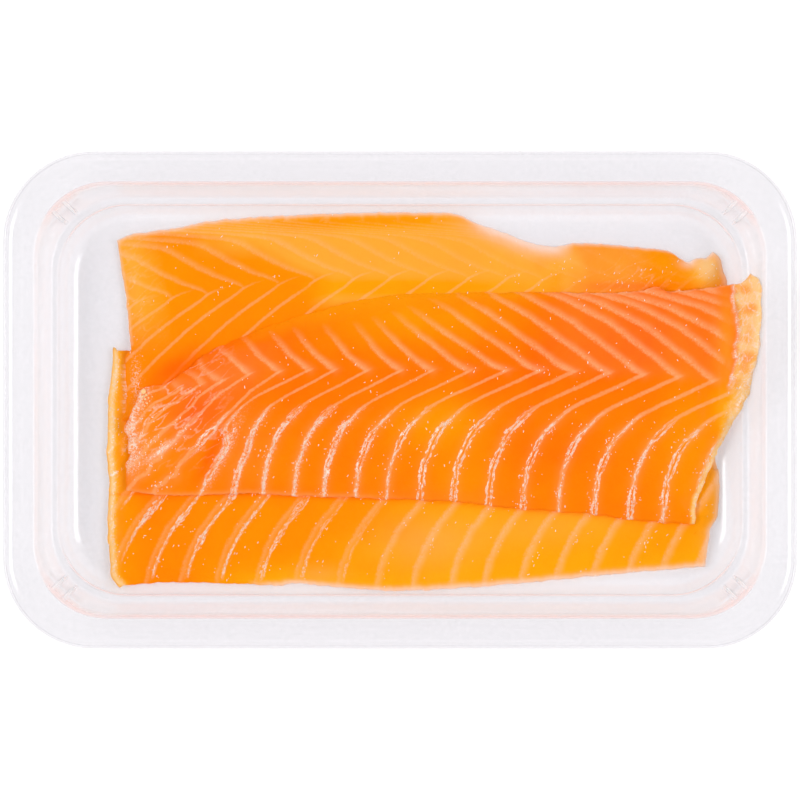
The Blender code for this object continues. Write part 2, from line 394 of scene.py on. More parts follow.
def height_under(plan, trees):
    """The highest surface among the trees below each place, in mm."""
    down = Vector((0, 0, -1))
    found = np.zeros(plan.shape[:2])
    for index in np.ndindex(found.shape):
        above = Vector((plan[index][0] * MM, plan[index][1] * MM, 0.05))
        for tree in trees:
            hit = tree.ray_cast(above, down)[0]
            if hit and hit.z > found[index]:
                found[index] = hit.z
    return found / MM


def around(values, combine):
    """Each place's four neighbours on the grid, put together."""
    wide = np.pad(values, 1, mode="edge")
    return combine([wide[2:, 1:-1], wide[:-2, 1:-1], wide[1:-1, 2:], wide[1:-1, :-2]], axis=0)


def settled(plan, trees, clinging=0.0, rounds=250):
    """The underside of a limp slice laid over what is under it: it touches the high points and
    hangs smoothly between them, or follows closely where it is clinging."""
    close = height_under(plan, trees) + CLEARANCE
    held = close
    for _ in range(2):
        held = np.maximum(held, around(held, np.max))
    height = held.copy()
    for _ in range(rounds):
        height = np.maximum(held, around(height, np.mean))
    return height + (close - height) * clinging


def topside(plan, under, thickness):
    """The upper face of a slice of this thickness: a ball of that radius rolled over its underside."""
    reach_long = math.ceil(thickness.max() / CELL_LONG)
    reach_wide = math.ceil(thickness.max() / CELL_WIDE)
    margin = ((reach_long, reach_long), (reach_wide, reach_wide))
    wide_plan = np.pad(plan, (*margin, (0, 0)), mode="edge")
    wide_under = np.pad(under, margin, mode="edge")
    columns, rows = under.shape
    top = under + thickness
    for i in range(2 * reach_long + 1):
        for j in range(2 * reach_wide + 1):
            away = ((wide_plan[i:i + columns, j:j + rows] - plan) ** 2).sum(axis=2)
            rise = np.sqrt(np.maximum(thickness**2 - away, 0))
            top = np.maximum(top, np.where(rise > 0, wide_under[i:i + columns, j:j + rows] + rise, 0))
    for _ in range(3):
        top = 0.5 * top + 0.5 * around(top, np.mean)
    return top


def patches(plan, *spots):
    """The sum of soft oval patches, each (x, y, half length, half width, turn in degrees, amount)."""
    total = np.zeros(plan.shape[:2])
    for x, y, long, wide, turn, amount in spots:
        c, s = math.cos(math.radians(turn)), math.sin(math.radians(turn))
        off_x, off_y = plan[..., 0] - x, plan[..., 1] - y
        across_x, across_y = off_x * c + off_y * s, off_y * c - off_x * s
        total += amount * np.exp(-((across_x / long) ** 2) - (across_y / wide) ** 2)
    return total


def counted(places, lines):
    """A smooth count of the lines passed at each place, which is a whole number on every line."""
    return np.interp(places, lines, np.arange(len(lines)))


def spacing(plan, count):
    """How far apart the counted lines run at each place, square to them, in mm."""
    x_long, x_wide = np.gradient(plan[..., 0])
    y_long, y_wide = np.gradient(plan[..., 1])
    long, wide = np.gradient(count)
    rise = np.hypot(long * y_wide - wide * y_long, wide * x_long - long * x_wide)
    cell = np.abs(x_long * y_wide - x_wide * y_long)
    return np.clip(cell / np.maximum(rise, 0.01 * cell), 2.0, 12.0)


def off_line(count, apart):
    """The distance to the nearest line, in mm, for lines this far apart."""
    return (count - np.rint(count)) * apart


def slab(name, plan, under, top, fields, finish):
    """A closed slice between its underside and its top face, with a rounded cut edge."""
    columns, rows = (count - 1 for count in under.shape)
    outward = np.zeros_like(plan)
    outward[0] += plan[0] - plan[1]
    outward[-1] += plan[-1] - plan[-2]
    outward[:, 0] += plan[:, 0] - plan[:, 1]
    outward[:, -1] += plan[:, -1] - plan[:, -2]

    bm = bmesh.new()
    bmesh.ops.create_grid(bm, x_segments=columns, y_segments=rows, size=0.5)
    face = list(bm.faces)
    for _ in range(2):
        raised = bmesh.ops.extrude_face_region(bm, geom=face)["geom"]
        verts = [item for item in raised if isinstance(item, bmesh.types.BMVert)]
        face = [item for item in raised if isinstance(item, bmesh.types.BMFace)]
        bmesh.ops.translate(bm, verts=verts, vec=(0, 0, 0.5))
    bmesh.ops.recalc_face_normals(bm, faces=bm.faces)
    mesh = bpy.data.meshes.new(name)
    bm.to_mesh(mesh)
    bm.free()

    grid = np.empty(len(mesh.vertices) * 3)
    mesh.vertices.foreach_get("co", grid)
    grid = grid.reshape(-1, 3)
    i = np.rint((grid[:, 0] + 0.5) * columns).astype(int)
    j = np.rint((grid[:, 1] + 0.5) * rows).astype(int)
    share = grid[:, 2]
    bulge = np.minimum(0.4 * (top - under)[i, j], 0.4) * (share == 0.5)
    flat = plan[i, j] + outward[i, j] * bulge[:, None]
    height = under[i, j] + (top - under)[i, j] * share
    mesh.vertices.foreach_set("co", (np.column_stack([flat, height]) * MM).ravel())
    for field, values in fields.items():
        layer = mesh.attributes.new(field, "FLOAT", "POINT")
        layer.data.foreach_set("value", np.broadcast_to(values, under.shape)[i, j].astype(np.float32))
    mesh.update()
    mesh.shade_smooth()
    mesh.materials.append(finish)
    made = bpy.data.objects.new(name, mesh)
    bpy.context.scene.collection.objects.link(made)
    bpy.context.view_layer.update()
    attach(made, "root")
    return BVHTree.FromObject(made, bpy.context.evaluated_depsgraph_get())


# Moist smoked flesh. The mesh's attributes say where the lines run and how the colour lies: thin
# lines that break up into wet strands where they are rough, broad soft bands, a deeper or paler
# ground, and fibrous white. The near-white of the strands and fibres is partly pale fat and partly
# a painted highlight of wet glints.
salmon_flesh = bpy.data.materials.new("salmon_flesh")
finish = Finish(salmon_flesh)
place = finish.node("ShaderNodeTexCoord", output="Object")
wander = finish.cloud(place, 3.5, 1) - 0.5
grain = finish.cloud(place, 0.7, 1.5) - 0.5
fine = finish.cloud(place, 0.3, 1) - 0.5
mottle = finish.cloud(place, 11, 1) - 0.5

count = finish.attribute("line") + wander * 0.06
line_off = abs(((count + 0.5).part() - 0.5) * finish.attribute("line_apart"))
rough = finish.attribute("rough")
crisp = 1 - (line_off / (finish.attribute("line_half") + grain * 0.4)).step(0.3, 1.0)
crisp = crisp * finish.attribute("line_share") * (1 + grain * 0.8 + wander * 0.7)

run = finish.attribute("along")
lengthways = finish.node("ShaderNodeCombineXYZ", {}, {0: count * 24, 1: run * 0.7, 2: 0.0})
thread = finish.node("ShaderNodeTexNoise", {}, {"Vector": lengthways, "Scale": 1.0, "Detail": 1.5}) - 0.5
parted = (mottle * 7 + 0.2).within(0.0, 0.65)
beside = 1 - abs(line_off - parted).step(0.1, 0.75)
strands = (thread * 3.0 + beside * 0.95 - 0.78 + wander * 1.1).step(0.0, 0.2) * (1 - line_off.step(1.2, 3.0))
strands = strands * rough * (0.75 + fine * 2.0).within(0.0, 1.0)
# The slit beside a rough line is painted deeper: painted shade in the crack.
shaded_slit = (1 - line_off.step(0.1, 0.3)) * (parted - 0.3).within(0.0, 0.3) * rough * (1 - strands)

band = ((finish.attribute("band") + wander * 0.1 + 0.5).part() - 0.5) * finish.attribute("band_apart")
band_at = band / finish.attribute("band_half") + grain * 0.4 + fine * 0.5
soft = band_at.step(-1.3, -0.4) * (1 - band_at.step(-0.5, 1.5)) ** 1.6 * finish.attribute("band_share")
soft = soft * (1 + grain * 1.3 + fine * 1.3)

tone = finish.attribute("tone") + mottle * 0.2 + wander * 0.12 + shaded_slit * 0.25
flesh = finish.node("ShaderNodeValToRGB", {"stops": [
    (0.0, (1.0, 0.600, 0.200)),
    (0.2857, (1.0, 0.405, 0.004)),
    (0.5714, (1.0, 0.285, 0.001)),
    (0.857, (1.0, 0.172, 0.001)),
    (1.0, (1.0, 0.110, 0.002)),
]}, {0: (tone + 0.5) / 1.75})
pale = (finish.attribute("pale") + crisp + soft + grain * 0.02 - shaded_slit).within(0.0, 0.9)
flesh = finish.mix(pale, flesh, (1.0, 0.53, 0.26))
flesh = finish.mix(finish.attribute("white"), flesh, (1.0, 0.74, 0.62))
fibre = finish.attribute("fibre")
fibres_and_glints = fibre * (fine * 2.4 + grain * 1.6 + fibre * 0.6 - 0.36).step(-0.12, 0.42)
drawn = {"Vector": place, "Rotation": (0.0, 0.0, 0.66), "Scale": (3.6, 1.0, 1.0)}
drawn = finish.node("ShaderNodeMapping", {"vector_type": "TEXTURE"}, drawn)
creased = 1 - abs(finish.cloud(drawn, 2.6, 1.3) - 0.5).step(0.008, 0.045)
web = finish.attribute("web") * creased * (grain * 3 + 0.65).within(0.0, 1.0)
# The near-white mixed in below is partly pale fat and fibre and partly painted highlight: glints on the wet strands,
# ridges and crest.
fat_and_glint = (strands + fibres_and_glints + web * 0.85).within(0.0, 1.0)
flesh = finish.mix(fat_and_glint * 0.9, flesh, (1.0, 0.75, 0.60))

relief = crisp * 0.6 + soft * 0.3 + strands * 0.8 - shaded_slit * 0.8 + grain * 0.45 + fine * 0.25
relief = relief + fibres_and_glints * 0.6 + web * 0.5
bump = finish.node("ShaderNodeBump", {}, {"Height": relief, "Strength": 0.5, "Distance": 0.00022})
finish.show(finish.node("ShaderNodeBsdfPrincipled", {}, {
    "Base Color": flesh,
    "Roughness": 0.34 - fat_and_glint * 0.14,
    "Specular IOR Level": 0.03,
    "Coat Weight": fat_and_glint * 0.6 + pale * 0.1,
    "Coat Roughness": 0.12,
    "Normal": bump,
}))

front_plan = fray(plan_of(
    front=[(-77, -51.5), (-74.9, -50.7), (-64, -50.1), (-44.6, -50.4), (-34.7, -50.9), (-27.5, -50.4),
           (-14.9, -51.5), (-1.7, -52.3), (11.6, -51.8), (24.8, -50.9), (38, -49.8), (57.8, -47.9),
           (71, -46.8), (84, -45.7)],
    back=[(-79, 14.3), (-74.1, 13.3), (-40, 13.3), (0, 14), (45, 15), (83, 12.5)],
    left=[(-77, -51.5), (-79.4, -48.2), (-80, -41.3), (-80.5, -35.8), (-80.3, -27.5), (-80.1, -22),
          (-80.8, -15), (-80.4, -8), (-80.4, 0), (-79.6, 5.5), (-79, 14.3)],
    right=[(84, -45.7), (84.3, -42.7), (85.6, -35.8), (87.4, -31.5), (87.9, -26), (87.7, -19.5),
           (86.8, -16), (83, 12.5)],
), 1, 0.14)
x, y = front_plan[..., 0], front_plan[..., 1]
from_left, from_right, from_front, from_back = from_edges(front_plan)
edge = np.minimum.reduce([from_left, from_right, from_front, from_back])
drift = np.interp(
    y,
    (-51.5, -46.8, -44, -41.3, -38.6, -35.8, -33, -30.3, -27.5, -20, -10, 0, 15),
    (-4.4, -3.4, -2.5, -1.4, 0, 1.5, 3.6, 5.8, 8.0, 13, 18, 22, 27),
)
line = counted(x - drift, (-92, -83, -74.1, -64.2, -54.8, -45, -34, -23.2, -11.6, -1.1, 8.5, 18.7, 27.8,
                           37.7, 47.4, 57.3, 66.9, 76, 85.4, 95))
apart = spacing(front_plan, line)
to_right = np.clip((x + 20) / 30, 0, 1)
band = line + (1 - to_right) * 1.2 / apart
left_rim = np.exp(-(((from_left - 1.2) / 1.0) ** 2))
nick = patches(front_plan, (-78.8, -20.2, 3.0, 0.4, 27, 1.0))
hem = np.clip((x + 42) / 8, 0, 1) * np.exp(-((from_front / 0.9) ** 2))
near_front = np.exp(-((from_front / 5.5) ** 2)) * np.clip((x + 58) / 20, 0, 1)
tone = np.interp(
    x,
    (-79, -74, -69, -55, -40, -10, 3, 15, 58, 72, 85),
    (0.5, 0.58, 0.7, 0.64, 0.58, 0.52, 0.28, 0.12, 0.15, 0.3, 0.26),
)
tone += (0.06 - tone) * near_front
tone += patches(front_plan, (-78, -5, 3.5, 24, 0, -0.1), (-8, -42, 12, 5, 0, -0.25))
tone -= 0.95 * np.exp(-(((from_left - 0.9) / 1.4) ** 2))
# Just in front of the top slice's front edge the flesh is painted deeper: a painted contact shadow.
edge_above = np.interp(x, (-75, -44, 0, 16, 38, 55, 81, 83), (-25.6, -25.8, -27.3, -28.1, -30.4, -31.6, -34, -60))
tone += 0.3 * np.exp(-(((y - edge_above + 0.25) / 0.4) ** 2)) * (edge_above > -40)
right_rim = np.exp(-((from_right / 1.6) ** 2))
tone += (0.1 - tone) * right_rim
pale = patches(
    front_plan, (8, -39, 13, 6.5, 0, 0.14), (40, -35, 20, 5, 4, 0.07), (-22, -48, 6, 2.5, 0, 0.12),
) + 0.2 * right_rim + 0.35 * hem + 0.12 * left_rim
wet = np.clip(1 - (x + 46) / 42, 0.0, 1) * np.clip((from_front - 1) / 3, 0, 1) * np.clip((x + 77) / 4, 0, 1)
thickness = CUT_EDGE + (SLICE - CUT_EDGE) * np.sin(np.minimum(edge / EDGE_FALL, 1) * math.pi / 2)
off_front_line = off_line(line, apart)
# White specks along the wet ridges are painted glints.
ridge_glint_paint = wet * np.exp(-((off_front_line / 0.6) ** 2)) * np.clip(0.35 + 1.2 * ripple(front_plan, 8, 91), 0, 1)
relief = 0.3 * np.exp(-((off_front_line / 0.7) ** 2)) * wet + 0.07 * np.exp(-((off_line(band, apart) / 1.5) ** 2))
relief += 0.22 * ripple(front_plan, 17, 3) + 0.05 * ripple(front_plan, 1.3, 7)
front_under = settled(front_plan, [tray_tree])
front_top = topside(front_plan, front_under, thickness) + relief * np.minimum(edge / 3, 1)
front_tree = slab("front_slice", front_plan, front_under, front_top, {
    "line": line,
    "line_apart": apart,
    "line_half": 0.6,
    "line_share": 0.4 * wet,
    "along": y * 1.4,
    "rough": 0.95 * wet,
    "band": band,
    "band_apart": apart,
    "band_half": 0.95 + 0.35 * to_right,
    "band_share": 0.22 + 0.21 * to_right,
    "tone": tone,
    "pale": pale,
    "white": 0.55 * hem + 0.4 * np.exp(-((from_right / 0.8) ** 2)),
    "fibre": np.clip(0.62 * left_rim + 0.95 * ridge_glint_paint + 0.9 * nick, 0, 1),
    "web": 0.3 * left_rim,
}, salmon_flesh)
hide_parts("slice_front")
front_clusters = np.clip(0.35 + 1.6 * ripple(front_plan, 6, 93), 0, 1.6)
front_flecks = (0.04 + 0.4 * np.exp(-(((off_front_line - 0.9) / 0.7) ** 2)) + 0.08 * wet) * front_clusters
front_flecks += 0.4 * left_rim

# The back slice: laid next, its back edge up against the foot of the tray's wall and its front part
# over the first slice. Its lines make a row of V shapes along the middle of the fillet, thin below
# and broad and faint above, where the flesh runs out thin and the light comes through it.

back_plan = fray(plan_of(
    front=[(-76.4, -5.5), (-50, -9.5), (0, -11), (45, -12), (85, -10)],
    back=[(-77.8, 44), (-74.2, 45.3), (-67.6, 46.4), (-61, 47.2), (-54, 48.8), (-41.2, 50), (-28, 50.6),
          (-13.7, 51.1), (8.2, 51.4), (16, 50.6), (21.4, 48.5), (28, 46.1), (33, 44.2), (38.5, 42.6),
          (44, 42.3), (49.5, 43), (59, 42.6), (66, 41.8), (71, 41.6), (75, 40.5), (77.5, 38.8),
          (79.7, 37.9), (82, 38.8), (84.2, 39), (86.3, 40.8)],
    left=[(-76.4, -5.5), (-75.2, -1.4), (-75.3, 11.5), (-73.9, 13.9), (-74.3, 17), (-75, 24.7),
          (-75.8, 30.2), (-76.6, 35.7), (-77.8, 44)],
    right=[(85, -10), (88, 8), (90.5, 25), (90.1, 31.9), (89, 35.4), (87.9, 39), (86.3, 40.8)],
), 2, 0.14)
x, y = back_plan[..., 0], back_plan[..., 1]
from_left, from_right, from_front, from_back = from_edges(back_plan)
edge = np.minimum.reduce([from_left, from_right, from_front, from_back])


def bent(plan, tips, tip_heights, heights, shifts, lines):
    """Counts lines that start at a row of tips and shift sideways with their height off the tips."""
    source = plan[..., 0].copy()
    for _ in range(12):
        height = plan[..., 1] - np.interp(source, tips, tip_heights)
        shift = np.interp(height, heights, shifts) if np.ndim(shifts) == 1 else shifts(source, height)
        source = 0.5 * source + 0.5 * (plan[..., 0] - shift)
    return counted(source, lines), height, source


back_tips = (-82.4, -72.5, -62.5, -52.7, -42.8, -32.9, -23, -12.3, -2.2, 8.5, 19, 29.5, 39.6, 49.5,
             59.9, 70.1, 79.7, 90, 100, 110, 120, 130, 140, 150, 160, 170, 180)
tip_places = (-72, -62, -52, -43, -23, 0, 60)
tip_heights = (27, 28.3, 29.3, 31, 33.2, 34, 33)
band, rise, source = bent(
    back_plan, tip_places, tip_heights,
    (-45, -30, 0, 1.5, 3, 5.5, 7.3, 9.5, 11, 11.7, 12.2, 12.6, 13.2, 14, 16),
    (-50, -34, 0, -2.5, -7, -12.3, -15.5, -19.3, -22.7, -27, -32, -39, -49, -60, -80), back_tips,
)
line, fall, _ = bent(
    back_plan, tip_places, tip_heights,
    (-45, -30, -19, -15.1, -11.3, -7.7, -4.7, -2.2, 0, 1.2, 2.4, 6),
    (-48, -34, -23.4, -19.2, -15.1, -10.6, -6.4, -2.7, 0, 2.6, 6, 17), back_tips,
)
line_apart = spacing(back_plan, line)
band_apart = spacing(back_plan, band)
upper = np.clip((rise + 0.6) / 1.2, 0, 1)
tail = np.clip(1 - fall / 2.2, 0, 1)
left_end = np.clip(1 - (from_left - 4) / 8, 0, 1) * np.clip((y - 12) / 14, 0, 1)
light = np.clip((source + 26) / 9, 0, 1) * np.clip((rise + 5) / 5, 0, 1)
light = np.maximum(light, np.clip((x + 26) / 8, 0, 1) * np.clip(fall / 3 + 3, 0, 1))
light = np.maximum(light, 0.75 * np.clip((x + 58) / 12, 0, 1) * np.clip((y - 38.5) / 4, 0, 1))
light *= np.clip((53 + 2.5 * ripple(back_plan, 4, 61) - x) / 15, 0, 1)
thin_end = np.clip((x - 43) / 3, 0, 1)
# Where the back slice dips into a pocket beside the top slice's edge it is painted deeper: painted shade in the
# hollow.
shaded_pocket = patches(back_plan, (-62, 8.5, 9, 3.6, 30, 1.0))
tone = 0.64 - 0.007 * np.clip(y - 20, -5, 18)
# The patches at (5, 31) and (62, 31.4) deepen the flesh just behind the top slice's back edge: a painted shadow.
tone += (0.08 - tone) * light - 0.05 * thin_end - 0.42 * left_end + 0.45 * shaded_pocket + patches(
    back_plan, (-16, 49.0, 36, 2.0, 1, 0.3),
    (-66, 30, 5, 7, 0, -0.12), (46, 36, 4, 6, 0, -0.15), (62, 31.4, 13, 1.2, 0, 0.35), (84.5, 36.5, 4, 5, 0, -0.95),
    (5, 31, 22, 2.5, 0, 0.16), (-38, 17, 12, 4, 30, 0.1), (-43, 47.5, 12, 3, 8, -0.12),
)
hem = np.exp(-((from_back / 0.5) ** 2))
# The patch at (0, 31) takes paleness out of the same painted shadow behind the top slice's back edge.
pale = 0.13 * light + 0.1 * left_end + 0.1 * thin_end * np.clip((70 - x) / 6, 0, 1) + patches(
    back_plan, (24, 46, 10, 2.5, -24, 0.35), (38, 42, 7, 2.6, -10, 0.5), (85, 36, 3.5, 4.5, 0, 0.35),
    (0, 31, 36, 2.4, 0, -0.2), (-10, 49.0, 36, 2.4, 1, -0.22),
) + 0.2 * hem + 0.2 * np.exp(-((from_left / 0.6) ** 2)) * (y > 15) + 0.3 * np.exp(-((from_right / 1.2) ** 2))
feather = np.interp(x, (18, 26, 42, 48), (0, 1, 1, 0))
thickness = 0.9 + (SLICE - 0.9) * np.sin(np.minimum(edge / EDGE_FALL, 1) * math.pi / 2)
off_back_line = off_line(line, line_apart)
relief = 0.12 * np.exp(-((off_back_line / 0.6) ** 2)) * tail * (fall < 0) + 0.22 * ripple(back_plan, 19, 8)
relief += 0.05 * ripple(back_plan, 1.4, 9) - patches(back_plan, (-60, 8, 9, 2.5, 36, 0.8))
back_under = settled(back_plan, [tray_tree, front_tree])
back_top = topside(back_plan, back_under, thickness) + relief * np.minimum(edge / 3, 1)
shaggy = patches(back_plan, (44, 37, 2.2, 6, 0, 1.0), (66, 34, 8, 4, 0, 0.7), (85, 35, 3.5, 4, 0, 1.0))
back_tree = slab("back_slice", back_plan, back_under, back_top, {
    "line": line,
    "line_apart": line_apart,
    "line_half": 0.46 + 0.14 * np.clip(-fall / 4, 0, 1),
    "line_share": 0.3 * tail * (1 - 0.7 * thin_end) * (1 - 0.9 * shaded_pocket),
    "along": np.where(fall > 0, rise, fall) * 1.3,
    "rough": 0.0,
    "band": band,
    "band_apart": band_apart,
    "band_half": 0.62 + 0.45 * np.clip(rise / 6, 0, 1),
    "band_share": upper * np.interp(x, (-60, -35, -10, 20, 42, 60), (0.28, 0.25, 0.16, 0.11, 0.06, 0.03)),
    "tone": tone,
    "pale": pale,
    "white": 0.5 * hem * (1 - feather)
    + 0.9 * feather * np.exp(-((from_back / 2.4) ** 2)) + 0.2 * np.exp(-((from_left / 0.5) ** 2)) * (y > 15)
    # The white at the right edge above y 30 is painted light on the curl's steep right side, against its shade.
    + 0.35 * np.exp(-((from_right / 1.1) ** 2)) * (y > 30) + patches(back_plan, (79.6, 37.6, 2.4, 1.3, 0, 0.5)),
    "fibre": 0.1 * shaggy + 0.55 * patches(back_plan, (-72.8, 5, 2.0, 8, 0, 1.0)) * np.clip(from_left - 0.5, 0, 1),
    "web": 0.3 * shaggy * (x > 48) + 0.12 * left_end,
}, salmon_flesh)
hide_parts("slice_back")
back_clusters = np.clip(0.3 + 1.6 * ripple(back_plan, 6, 71), 0, 1.6)
back_flecks = (0.045 + 0.12 * np.exp(-(((off_back_line) / 0.8) ** 2)) * (abs(fall - 1) < 3)) * back_clusters
back_flecks += 0.22 * shaggy + 0.12 * patches(back_plan, (-73, 5, 2.5, 10, 0, 1.0))

# The top slice: laid last, over both others. Its lines are strong chevrons, with a bend near the
# front where the flesh is wet and pitted along them. Its left end is ragged, and its right end is
# a thin fatty strip that folds up at a white crest and leans against the tray's wall.

STRIP = 1.1
top_plan = fray(plan_of(
    front=[(-75, -24.9), (-65.7, -26), (-54.8, -26.1), (-43.8, -25.6), (-27.4, -26.2), (0, -27.1),
           (16.4, -27.9), (27.4, -29.2), (38.3, -30.2), (54.8, -31.4), (60.2, -32.3), (71.2, -33.4),
           (81, -33.8)],
    back=[(-71.2, 2.7), (-69, 3.6), (-64.1, 4.6), (-58, 8.5), (-54.2, 11.8), (-49, 14.8), (-42.4, 17.8),
          (-27.9, 23), (-22.2, 24.4), (-15.1, 26.6), (0, 29), (11, 29.4), (32.9, 29.5), (54.8, 29.4),
          (65.7, 29.9), (70.4, 31), (73.9, 29.8), (82, 30.4), (90.3, 31.4), (92.5, 31.6), (94, 32.6),
          (95.4, 34)],
    left=[(-75, -24.9), (-75.1, -19.4), (-75.3, -17.7), (-74, -15.3), (-74.7, -14.3), (-74.6, -10.4),
          (-75.6, -8.8), (-75, -6.6), (-72.8, -1.5), (-71.2, 2.7)],
    right=[(81, -33.8), (81.2, -29.3), (82.1, -26.3), (85.2, -18.9), (87.4, -14), (89, -11), (91, -6.8),
           (93.3, -2.7), (93.9, -0.5), (95.2, 1.6), (96.5, 8.2), (97.6, 15.1), (98, 24.6), (97.7, 32.3),
           (95.4, 34)],
), 3, 0.16)
x, y = top_plan[..., 0], top_plan[..., 1]
from_left, from_right, from_front, from_back = from_edges(top_plan)
edge = np.minimum.reduce([from_left, from_right, from_front, from_back])
top_tips = (-104, -96, -88, -82, -76.5, -71.5, -66.3, -60.8, -54.8, -47.9, -41.3, -33.2, -25, -18, -9,
            0, 8.6, 19.1, 28.9, 38.1, 47.3, 57, 66.5, 76.3, 86, 96, 105, 114, 123, 132, 141, 150, 160)
tip_places = (-60, -41, -25, 0, 40, 60, 76, 86, 105)
tip_heights = (3, 7.2, 8.2, 8, 8, 7.3, 6.4, 5.3, 4)


def arm_below(source, height):
    """How far a line has moved sideways at a height below its tip."""
    shift = np.interp(
        height,
        (-50, -36, -31, -26, -22, -19, -16, -13, -11, -9.3, -7, -5, -3, -1.5, 0, 1.5),
        (-33, -32.7, -32.4, -31.6, -30, -28.8, -27, -24, -22, -19.8, -15.3, -10.8, -6.3, -3.2, 0, 2.6),
    )
    shift = shift * np.interp(source, (-40, -25, -18, -9, 9, 19, 29), (0.95, 0.93, 0.86, 0.88, 0.91, 0.96, 1))
    slanting = np.interp(height, (-40, -28, -20, -13, -5, 0, 1.5), (-42, -30, -22, -15.5, -7.5, 0, 2.6))
    shift = shift + 4.4 * np.exp(-(((height + 22) / 8) ** 2) - ((source + 24) / 6.5) ** 2)
    return shift + (slanting - shift) * np.clip((-26 - source) / 7, 0, 1)


def arm_above(source, height):
    """How far a line has moved sideways at a height above its tip: steep at the left end, low at the right."""
    steep = np.interp(height, (0, 2, 4.5, 8, 11, 13.5, 17, 21), (0, -2, -5, -8, -10.3, -12, -14, -16))
    middling = np.interp(height, (0, 2, 5.5, 8.7, 11.8, 14.5, 17, 21), (0, -3.8, -8.5, -13.3, -18, -21.7, -25, -31))
    lying = np.interp(
        height,
        (0, 2.7, 5.5, 9, 12.2, 15.2, 18.7, 21.7, 24, 27),
        (0, -2.8, -6, -10.5, -14.5, -18.5, -25, -31, -38, -48),
    )
    to_middle = np.clip(source / 29, 0, 1)
    to_right = np.clip((source - 29) / 50, 0, 1)
    return (steep * (1 - to_middle) + middling * to_middle) * (1 - to_right) + lying * to_right


line, fall, source = bent(top_plan, tip_places, tip_heights, None, arm_below, top_tips)
band, rise, band_source = bent(top_plan, tip_places, tip_heights, None, arm_above, top_tips)
left_mess = np.clip(-(x + 44) / 18, 0, 1)
line += left_mess * (0.12 * ripple(top_plan, 9, 31) + 0.1 * ripple(top_plan, 3.5, 33))
band += left_mess * 0.6 * ripple(top_plan, 8, 35)
line_apart = spacing(top_plan, line)
band_apart = spacing(top_plan, band)
upper = np.clip((rise + 0.6) / 1.2, 0, 1)
tail = np.clip(1 - (fall + 0.3) / 1.0, 0, 1)
front_part = np.clip(-(fall + 9) / 5, 0, 1)
crest_x = np.interp(y, (2, 5, 8, 11, 13, 16, 20, 24, 28, 33), (89.6, 90.6, 91, 92, 91.4, 92.2, 92.2, 91.6, 91, 91))
past_crest = x - crest_x + 0.35 * ripple(top_plan, 1.6, 41)
crest = np.clip((y - 1) / 3, 0, 1)
strip = np.clip(past_crest / 1.2, 0, 1) * np.clip(y / 6, 0, 1)
margin_wide = np.interp(y, (-34, -20, -11, -5, 0, 4, 9), (1.6, 2.0, 2.6, 5.2, 6.0, 4.8, 0.1))
margin = np.clip(1.6 - 1.6 * from_right / margin_wide, 0, 1)
whole = (1 - strip) * (1 - margin)
# The groove is sunk into the face and painted deeper: painted shade in the recess.
shaded_groove = patches(top_plan, (-52.0, -15.4, 1.5, 8, -28, 1.0))
crease = patches(top_plan, (-48.2, -14.0, 1.4, 10, -27, 1.0))
beside_crest = np.clip((past_crest + 5) / 2.5, 0, 1) * crest
tone = 0.82 + 0.2 * np.clip((y + 12) / 20, 0, 1) + patches(
    top_plan, (11, -6, 12, 8, 0, -0.45), (17, -22, 10, 9, 0, -0.2), (4, 25, 30, 7, -3, -0.42),
    (55, 15, 28, 9, 0, 0.12), (42, -13, 13, 8, 0, 0.15), (79, -12, 9, 24, 0, -0.3), (90, -3, 4.5, 7, 0, -0.7),
    (-55, -3, 10, 6, 20, 0.28), (-68, -8, 7, 14, 0, -0.2), (89.5, 18, 2.8, 14, 0, -0.45), (0, 18, 24, 7.5, 0, -0.28),
) + 0.2 * shaded_groove
near_back = np.exp(-((from_back / 3.0) ** 2)) * np.clip((46 - x) / 14, 0, 1) * np.clip((x + 48) / 10, 0, 1)
tone += (np.interp(x, (-45, -25, -10, 15, 40), (0.7, 0.5, 0.28, 0.32, 0.48)) - tone) * near_back
tone += (-0.28 + 0.6 * ripple(top_plan, 3.3, 57) - tone) * strip
tone += (-0.48 + 0.3 * ripple(top_plan, 2.5, 59) - tone) * margin
# The thin pale lines along the back edge at the right and along the front edge at the left are painted edge
# highlights.
pale = 0.035 * np.clip((rise + 2) / 4, 0, 1) * np.clip((x - 36) / 12, 0, 1) + patches(
    top_plan, (-62, -9, 12, 14, 0, 0.02), (-46, 7, 12, 6, 30, 0.07), (-44, -14, 8, 9, 0, 0.03),
    (9, -30, 20, 5, 0, 0.03),
) + 0.22 * np.exp(-((from_back / 0.6) ** 2)) * np.clip((x - 40) / 12, 0, 1) + 0.2 * np.exp(-((from_front / 0.7) ** 2)) * np.clip((5 - x) / 20, 0, 1)
off_band = off_line(band, band_apart)
arrowhead = np.exp(-(((rise - 0.8) / 1.7) ** 2)) * np.exp(-(((off_band - 0.4) / 1.2) ** 2))
pale += 0.04 * strip + 0.15 * margin + 0.1 * crease + 0.14 * arrowhead * whole - 0.08 * near_back
pale -= 0.12 * shaded_groove
off_top_line = off_line(line, line_apart)
haze = np.exp(-((off_top_line / 1.6) ** 2)) * front_part
# White specks along the wet ridges are painted glints.
ridge_glint_paint = front_part * np.exp(-(((off_top_line - 0.3) / 0.75) ** 2)) * np.clip((2 - x) / 22, 0, 1) * (x > -46)
left_rim = np.clip(1 - (from_left - 1.5) / 4, 0, 1) * np.clip((y + 23) / 6, 0, 1)
white_band = patches(top_plan, (-65.5, -13.8, 5.2, 0.9, 36, 1.0))
